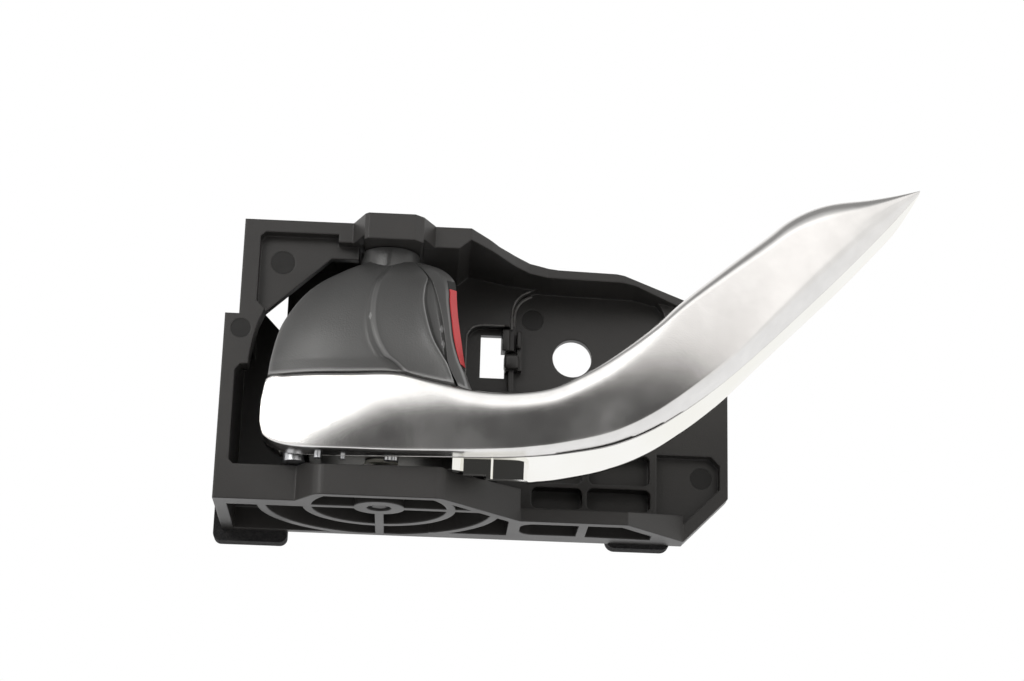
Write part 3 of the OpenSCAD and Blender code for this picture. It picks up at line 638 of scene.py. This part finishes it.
def make_lever_back():
    back = loft("lever_back_skin", [back_ring(x) for x in stations()],
                bright_chrome, sharp=40)
    solids = [along_y(x, z, screw_y(x) - SEAT_DEEP, screw_y(x) - SHELL + 0.8,
                      SEAT_R) for x, z in SCREW_AT]
    solids += [cylinder((0, 0, low), (0, 0, top), LUG_R) for low, top in LUGS]
    solids += [block(*shape) for shape in BACK_BLOCKS]
    solids.append(prism(FACETS, FOOT, FOOT + FACETS_HIGH))
    solids.append(prism([p for p in FACETS if p[0] > FACET_STEP]
                        + [(FACET_STEP, -0.4), (FACET_STEP, -2.6)],
                        FOOT - FACET_DROP, FOOT + 1))
    for low, size in POCKETS:
        apply_boolean(back, body_of("hole", [block(low, size)], bright_chrome))
    for bm in solids:
        apply_boolean(back, body_of("piece", [bm], bright_chrome), "UNION")
    holes = [cylinder((0, 0, 5), (0, 0, 45), PIN_BORE), cylinder(*ARM_HOLE)]
    holes += [block(*shape) for shape in BACK_SLOTS]
    for x, z in SCREW_AT:
        y = screw_y(x)
        holes.append(along_y(x, z, y - 10, y + 6, SHANK_R))
        holes.append(along_y(x, z, y - SEAT_DEEP + HEAD_DEEP, y + 6, HEAD_R))
    for bm in holes:
        apply_boolean(back, body_of("hole", [bm], bright_chrome))
    back.data.shade_smooth()
    back.data.set_sharp_from_angle(angle=math.radians(35))
    return back


def seam_shade_ring(x):
    """A thin dark plate that paints the shade in the gap where the two shells meet.
    """
    top, low = curve(LEVER_TOP, x), curve(LEVER_LOW, x)
    part = curve(LEVER_FACE, x) + curve(FRONT_DEEP, x)
    inset = min(SEAM_SHADE_INSET, (top - low) / 4)
    front, back = part - SEAM_SHADE_FRONT, part + SEAM_SHADE_BACK
    return [(x, front, top - inset), (x, back, top - inset),
            (x, back, low + inset), (x, front, low + inset)]


def make_lever():
    front = loft("lever_front_skin", [front_ring(x) for x in stations()],
                 satin_chrome, sharp=40)
    for skin, node in ((front, "lever_front_cover"),
                       (make_lever_back(), "lever_back_cover")):
        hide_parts(node)
        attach(skin, "lever")
    # black plate over the openings: painted shade
    shade_lid = body_of("lever_inner_shade_lid", [block(*SHADE_LID)], black_rubber)
    # the dark plate in the joint is painted shade
    seam_shade = loft("lever_seam_shade", [seam_shade_ring(x) for x in spread(-32.4, 147, 150)],
                black_rubber)
    feet = body_of("lever_feet",
                   [cylinder((x, y, FOOT), (x, y, top), radius, sides)
                    for x, y, top, radius, sides in FEET], zinc_steel)
    skirt = body_of("lever_skirt",
                    [prism([a, b, (b[0], SKIRT_BACK), (a[0], SKIRT_BACK)], low,
                           SKIRT_TOP, lean) for a, b, low, lean in SKIRT],
                    bright_chrome)
    for piece, place in ((shade_lid, "black_rubber"), (seam_shade, "black_rubber"),
                         (feet, "zinc_steel"), (skirt, "satin_chrome")):
        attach(piece, "lever")


make_lever()


# the lock knob

KNOB_FOOT = 33
KNOB_TOP = 69.4
# tables over Z: its left and right edge, the two ridges, the right edge of the
# hollow beside the second, the left edge of the red strip's wall, and its depth
KNOB_LEFT = [(33, -32.0), (39, -31.3), (47.3, -29.4), (53.7, -26.2),
             (58.9, -22.4), (62.9, -17.8), (65.7, -13.2), (67.6, -9.7),
             (KNOB_TOP, -5.6)]
KNOB_RIGHT = [(33, 24.6), (34.6, 23.5), (38.7, 21.7), (45.2, 20.5), (52, 19.4),
              (57.7, 18.9), (62.9, 18.5), (65.6, 16.8), (67.7, 14),
              (KNOB_TOP, 9.5)]
RIDGE_ONE = [(33, 5.0), (35.4, 2.0), (37.5, -0.7), (43.3, -3.6), (50.6, -4.8),
             (60, -3.9), (64.8, -1.5), (KNOB_TOP, 2.5)]
RIDGE_TWO = [(33, 19.0), (37.5, 16.9), (38.9, 15.8), (43.3, 13.0), (48.8, 11.1),
             (55.2, 9.9), (60.4, 10.2), (63.7, 10.6), (KNOB_TOP, 6.5)]
SCOOP = [(33, 20.2), (37.5, 17.4), (43, 16.5), (49.9, 15.4), (56.8, 13.8),
         (62.8, 11.9), (KNOB_TOP, 7.5)]
RED_LINE = [(33, 23), (37, 21.3), (39.5, 19.9), (44.4, 18.3), (51, 17.3),
            (56, 16.7), (60, 16.5), (65, 15), (KNOB_TOP, 8.7)]
KNOB_DEEP = [(33, 13.5), (38, 13.2), (45, 12.2), (52, 10.4), (58, 8.2),
             (63, 5.8), (67, 3.6), (KNOB_TOP, 1.6)]
# share of the way from the left edge over the four lines to the right edge,
# and how far the face stands out there
KNOB_COLS = [(0, 0.0), (0, 0.30), (0.04, 0.42), (0.20, 0.58), (0.42, 0.74),
             (0.66, 0.84), (0.86, 0.885), (0.95, 0.90), (0.99, 0.955),
             (1.03, 1.01), (1.09, 1.03), (1.20, 1.005), (1.50, 1.03),
             (1.78, 1.075), (1.92, 1.115), (2.0, 1.12), (2.10, 1.05),
             (2.30, 0.93), (2.68, 0.89), (2.92, 0.95), (3, 1.0),
             (3.06, 0.985), (3.6, 0.93), (4, 0.90), (4.97, 0.66), (5, 0.58),
             (5, 0.0)]
# rows of that table at the two edges of the flat right wall, beside the red strip
WALL_COLS = (23, 24)
WALL = [KNOB_COLS[i] for i in WALL_COLS]
# strips on that wall: share of the way across, lower and upper end, height over
# the wall and thickness; the dark strip under the red one paints the shade of the
# slot it sits in
STRIPS = {
    "lock_indicator_skin": ((4.14, 4.93), (38.6, 60.2), 0.12, 0.35),
    "lock_indicator_slot_shade": ((4.06, 4.97), (37.6, 63.2), 0.02, 0.06),
}
KNOB_BACK = -5.5
KNOB_SHELL = 2.2
# between the knob's lower edge and the lever
KNOB_GAP = 0.7
# solids of the knob: foot, top, radius and sides of its neck, hub and arm post, and
# low corner, size and rounding of its ribs and cable arm
NECK = ((0, 0, 61), (0, 0, 73.3), 8.2, 96)
HUB = ((0, 0, 35.6), (0, 0, 61.6), 5.4)
ARM_POST = ((0, 12, 50), (0, 12, 63), 2.2)
KNOB_BLOCKS = [((-23, -8.5, 44), (42, 5.5, 2.4)),
               ((-29.8, -7.6, 34.6), (50, 1.6, 9)),
               ((-1.2, -12.0, 36.5), (2.4, 10.5, 17)),
               ((-3, 3, 50), (6, 18, 4.6), 0.3)]
KNOB_HOLES = [((0, 17, 49), (0, 17, 57), 1.6), ((0, 0, 30), (0, 0, 80), PIN_BORE)]


def knob_point(z, share, height):
    """A point of the knob's face, whose foot follows the lever's upper edge."""
    left, one, two = (curve(t, z) for t in (KNOB_LEFT, RIDGE_ONE, RIDGE_TWO))
    scoop = max(two + 0.4, curve(SCOOP, z))
    red = max(scoop + 0.4, curve(RED_LINE, z))
    lines = [left, one, two, scoop, red, max(red + 0.4, curve(KNOB_RIGHT, z))]
    k = min(4, int(share))
    x = lines[k] + (lines[k + 1] - lines[k]) * (share - k)
    v = (z - KNOB_FOOT) / (KNOB_TOP - KNOB_FOOT)
    low = curve(LEVER_TOP, max(x, -27)) + KNOB_GAP
    return (x, KNOB_BACK - curve(KNOB_DEEP, z) * height,
            z + (low - KNOB_FOOT) * (1 - v) ** 3)


def eased(values, steps):
    """The rows with each span cut into steps parts, on a soft curve."""
    out = []
    last = len(values) - 1
    for i in range(last):
        a, b = values[max(i - 1, 0)], values[i]
        c, d = values[i + 1], values[min(i + 2, last)]
        hard = b[0] == c[0] or i in WALL_COLS or i == last - 2
        for k in range(steps):
            u = k / steps
            if hard:
                out.append(tuple(p + (q - p) * u for p, q in zip(b, c)))
                continue
            soft = []
            for o, p, q, r in zip(a, b, c, d):
                m, n = (q - o) / 2, (r - p) / 2
                m = 0 if (q - p) * (p - o) <= 0 else m
                n = 0 if (q - p) * (r - q) <= 0 else n
                soft.append(p * (1 + 2 * u) * (1 - u) ** 2 + m * u * (1 - u) ** 2
                            + q * u * u * (3 - 2 * u) + n * u * u * (u - 1))
            out.append(tuple(soft))
    out.append(values[-1])
    return out


def knob_ring(z):
    """The section of the knob: its face, then its hollow inside."""
    out = [knob_point(z, *c) for c in eased(KNOB_COLS, 4)]
    left, right = out[0][0], out[-1][0]
    mid = (left + right) / 2
    near = min(1, (KNOB_TOP - z) / 3.5) * 0.6 + 0.4
    kx = max(0.1, 1 - 2 * KNOB_SHELL / (right - left))
    ky = near * max(0.6, 1 - KNOB_SHELL / curve(KNOB_DEEP, z))
    back = [(mid + (x - mid) * kx, KNOB_BACK + (y - KNOB_BACK) * ky, zz)
            for x, y, zz in reversed(out)]
    return out + back


def strip_ring(z, share, lift, thick):
    """A thin strip that lies on the knob's right wall."""
    (front, high), (edge, low) = WALL
    a, b = (knob_point(z, k, high + (low - high) * (k - front) / (edge - front))
            for k in share)
    long = math.hypot(b[0] - a[0], b[1] - a[1])
    nx, ny = (b[1] - a[1]) / long, (a[0] - b[0]) / long
    return [(p[0] + nx * d, p[1] + ny * d, p[2])
            for p, d in ((a, lift + thick), (b, lift + thick), (b, lift),
                         (a, lift))]


def make_strip(name, mat):
    share, ends, lift, thick = STRIPS[name]
    strip = loft(name, [strip_ring(z, share, lift, thick)
                        for z in spread(*ends, 40)], mat)
    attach(strip, "knob")
    return strip


def make_knob():
    heights = spread(KNOB_FOOT, 66, 56) + spread(66.4, KNOB_TOP, 12)
    knob = loft("lock_knob_skin", [knob_ring(z) for z in heights], soft_grey,
                sharp=45)
    solids = [cylinder(*NECK), cylinder(*HUB),
              *(block(*shape) for shape in KNOB_BLOCKS), cylinder(*ARM_POST)]
    for bm in solids:
        apply_boolean(knob, body_of("piece", [bm], soft_grey), "UNION")
    for shape in KNOB_HOLES:
        apply_boolean(knob, body_of("hole", [cylinder(*shape)], soft_grey))
    knob.data.shade_smooth()
    knob.data.set_sharp_from_angle(angle=math.radians(38))
    red = make_strip("lock_indicator_skin", red_insert)
    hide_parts("lock_indicator")
    # a dark strip under the red one: painted shade of the slot
    make_strip("lock_indicator_slot_shade", black_rubber)
    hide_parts("lock_knob")
    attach(knob, "knob")


make_knob()


# details of the bracket

# catches of the clip beside the square hole: low corner, size and rounding
CLIP_LUGS = [((33.5, 26.4, 55.4), (2.2, 4.0, 6.6), 0.3),
             ((34.2, 25.7, 49.8), (4.4, 4.6, 4.4), 0.8),
             ((37.8, 26.0, 56.2), (1.3, 4.4, 5.2), 0.4)]
# faces of the ejector marks: x, z, radius and y
EJECTORS = [(-30.2, 69.7, 3.3, -1.41), (-40.6, 48.7, 2.7, -4.91),
            (42.5, 66.5, 3.1, 30.59), (92.8, 19.8, 3.1, 30.59)]
DISC_THICK = 0.3
# rounded lips along the edges of the two recesses, their light grey a painted
# highlight: y, radius and path in x and z
LIPS = [(27.0, 0.30, [(36.2, 62.0), (36.2, 67.0), (36.9, 70.4), (38.7, 72.8),
                      (41.4, 74.2)]),
        (30.2, 0.50, [(37.0, 55.0), (37.0, 66.6), (37.6, 69.8), (39.3, 72.2),
                      (42.0, 73.8)]),
        (27.0, 0.26, [(22.9, 48.0), (22.9, 58.4), (23.4, 60.7), (24.8, 62.4),
                      (27.6, 63.2), (34.0, 63.2)])]


def bead(y, radius, path, sides=10):
    """A round bead along a path in the plane y, in millimetres."""
    bm = bmesh.new()
    rows = []
    last = len(path) - 1
    for i, (x, z) in enumerate(path):
        a, b = path[max(i - 1, 0)], path[min(i + 1, last)]
        long = math.hypot(b[0] - a[0], b[1] - a[1])
        side = ((b[1] - a[1]) / long, (a[0] - b[0]) / long)
        row = []
        for k in range(sides):
            turn = 2 * math.pi * k / sides
            out, deep = radius * math.cos(turn), radius * math.sin(turn)
            row.append(bm.verts.new(at(x + side[0] * out, y + deep,
                                       z + side[1] * out)))
        rows.append(row)
    for low, high in zip(rows, rows[1:]):
        for k in range(sides):
            j = (k + 1) % sides
            bm.faces.new((low[k], low[j], high[j], high[k]))
    bm.faces.new(rows[0][::-1])
    bm.faces.new(rows[-1])
    bmesh.ops.recalc_face_normals(bm, faces=bm.faces)
    return bm


def smooth_path(path, steps=6):
    """The path with its corners rounded by a curve through its points."""
    out = []
    last = len(path) - 1
    for i in range(last):
        p0, p1 = path[max(i - 1, 0)], path[i]
        p2, p3 = path[i + 1], path[min(i + 2, last)]
        for k in range(steps):
            u = k / steps
            out.append(tuple(
                0.5 * (2 * b + (c - a) * u + (2 * a - 5 * b + 4 * c - d) * u * u
                       + (3 * b - a - 3 * c + d) * u ** 3)
                for a, b, c, d in zip(p0, p1, p2, p3)))
    return out + [path[-1]]


def make_bracket_details():
    lugs = [block(*lug) for lug in CLIP_LUGS]
    discs = [cylinder((x, y, z), (x, y + DISC_THICK, z), radius)
             for x, z, radius, y in EJECTORS]
    lips = [bead(y, radius, smooth_path(path)) for y, radius, path in LIPS]
    for piece in (body_of("clip_lugs", lugs, black_moulding),
                  body_of("ejector_discs", discs, disc_black),
                  body_of("recess_lips", lips, painted_highlight_lip)):
        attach(piece, "bracket")


make_bracket_details()


# light

# brightness of the paper behind the handle and of the room in front of it
PAPER = 1.0
ROOM = 0.95
# the dark side where the photographer stands: middle in X and Z, half width and
# half height, and how much of the room's light is left there
DARK_AT = (-0.04, -0.15)
DARK_SIZE = (0.36, 0.45)
DARK_LEFT = 0.04
# where its soft edge starts and ends, as a share of that size
DARK_EDGE = (0.55, 1.35)
# between these the room goes over into the bright paper behind the handle
ROOM_TO_PAPER = (-0.25, 0.15)
ROOM_TINT = (1.0, 0.99, 0.975)
# the ceiling right above, darker than the room: direction, what is left of the
# light there, outer and inner angle
CEILING = ((0.0, -0.02, 1.0), 0.32, 48, 24)
# direction that the light comes from, strength, colour, outer and inner angle
LIGHT_LOBES = [
    ((-0.50, -0.78, 0.37), 4.5, (1.0, 0.99, 0.97), 17, 8),
    ((0.0, -0.62, 0.78), 0.3, (1.0, 1.0, 1.0), 34, 14),
    ((0.32, -0.84, 0.42), 0.25, (1.0, 0.94, 0.90), 32, 12),
    ((0.33, -0.89, 0.31), 0.15, (1.0, 0.97, 0.95), 8, 3),
]


def make_world():
    """White to the camera, and a bright room with a dark side to the surfaces."""
    world = bpy.data.worlds.new("studio")
    bpy.context.scene.world = world
    world.use_nodes = True
    tree = world.node_tree
    tree.nodes.clear()
    n = Nodes(tree)
    ray = n.add("ShaderNodeTexCoord").outputs["Generated"]

    def scaled(value, colour):
        node = n.add("ShaderNodeVectorMath", operation="SCALE")
        node.inputs[0].default_value = colour
        tree.links.new(value, node.inputs["Scale"])
        return node.outputs[0]

    def towards(way, outer, inner, away, near):
        """Goes from one value to the other as a ray nears a direction."""
        dot = n.add("ShaderNodeVectorMath", operation="DOT_PRODUCT")
        tree.links.new(ray, dot.inputs[0])
        dot.inputs[1].default_value = Vector(way).normalized()
        return n.smooth(dot.outputs["Value"], math.cos(math.radians(outer)),
                        math.cos(math.radians(inner)), away, near)

    split = n.add("ShaderNodeSeparateXYZ")
    tree.links.new(ray, split.inputs[0])
    across = n.math("DIVIDE", n.math("SUBTRACT", split.outputs["X"], DARK_AT[0]),
                    DARK_SIZE[0])
    along = n.math("DIVIDE", n.math("SUBTRACT", split.outputs["Z"], DARK_AT[1]),
                   DARK_SIZE[1])
    far = n.math("SQRT", n.math("ADD", n.math("MULTIPLY", across, across),
                                n.math("MULTIPLY", along, along)), 0.0)
    dark = n.smooth(far, *DARK_EDGE, DARK_LEFT, 1.0)
    front = n.math("MULTIPLY", dark, ROOM)
    side = n.smooth(split.outputs["Y"], *ROOM_TO_PAPER, 0.0, 1.0)
    mixed = n.math("ADD", n.math("MULTIPLY", front, n.math("SUBTRACT", 1.0, side)),
                   n.math("MULTIPLY", side, PAPER))
    way, left, outer, inner = CEILING
    dim = towards(way, outer, inner, 1.0, left)
    parts = [scaled(n.math("MULTIPLY", mixed, dim), ROOM_TINT)]
    for way, strength, colour, outer, inner in LIGHT_LOBES:
        parts.append(scaled(towards(way, outer, inner, 0.0, strength), colour))
    total = parts[0]
    for part in parts[1:]:
        node = n.add("ShaderNodeVectorMath", operation="ADD")
        tree.links.new(total, node.inputs[0])
        tree.links.new(part, node.inputs[1])
        total = node.outputs[0]
    studio = n.add("ShaderNodeBackground")
    tree.links.new(total, studio.inputs["Color"])
    white = n.add("ShaderNodeBackground")
    white.inputs["Color"].default_value = (1, 1, 1, 1)
    path = n.add("ShaderNodeLightPath")
    choose = n.add("ShaderNodeMixShader")
    n.link(path, "Is Camera Ray", choose, 0)
    n.link(studio, 0, choose, 1)
    n.link(white, 0, choose, 2)
    out = n.add("ShaderNodeOutputWorld")
    n.link(choose, 0, out, "Surface")
    world.cycles.sampling_method = "MANUAL"
    world.cycles.sample_map_resolution = 512


make_world()


# floor, in metres
FLOOR_SIZE = 1.5
FLOOR_Y = 1.2
FLOOR_Z = -0.30
FLOOR_COLOUR = (0.93, 0.93, 0.92, 1)
FLOOR_ROUGH = 0.9


def make_floor():
    """A pale floor under the handle, white to the camera and in the metal."""
    bm = bmesh.new()
    bmesh.ops.create_grid(bm, x_segments=1, y_segments=1, size=FLOOR_SIZE)
    mesh = bpy.data.meshes.new("floor")
    bm.to_mesh(mesh)
    bm.free()
    mat = bpy.data.materials.new("floor_paper")
    mat.use_nodes = True
    tree = mat.node_tree
    n = Nodes(tree)
    paper = tree.nodes["Principled BSDF"]
    paper.inputs["Base Color"].default_value = FLOOR_COLOUR
    paper.inputs["Roughness"].default_value = FLOOR_ROUGH
    white = n.add("ShaderNodeEmission")
    path = n.add("ShaderNodeLightPath")
    choose = n.add("ShaderNodeMixShader")
    seen = n.math("MAXIMUM", path.outputs["Is Camera Ray"],
                  n.math("MAXIMUM", path.outputs["Is Glossy Ray"],
                         path.outputs["Is Transmission Ray"]))
    tree.links.new(seen, choose.inputs[0])
    n.link(paper, 0, choose, 1)
    n.link(white, 0, choose, 2)
    n.link(choose, 0, tree.nodes["Material Output"], "Surface")
    mesh.materials.append(mat)
    floor = bpy.data.objects.new("floor", mesh)
    floor.location = (0, FLOOR_Y, FLOOR_Z)
    bpy.context.scene.collection.objects.link(floor)


make_floor()

scene = bpy.context.scene
scene.view_settings.view_transform = "Standard"
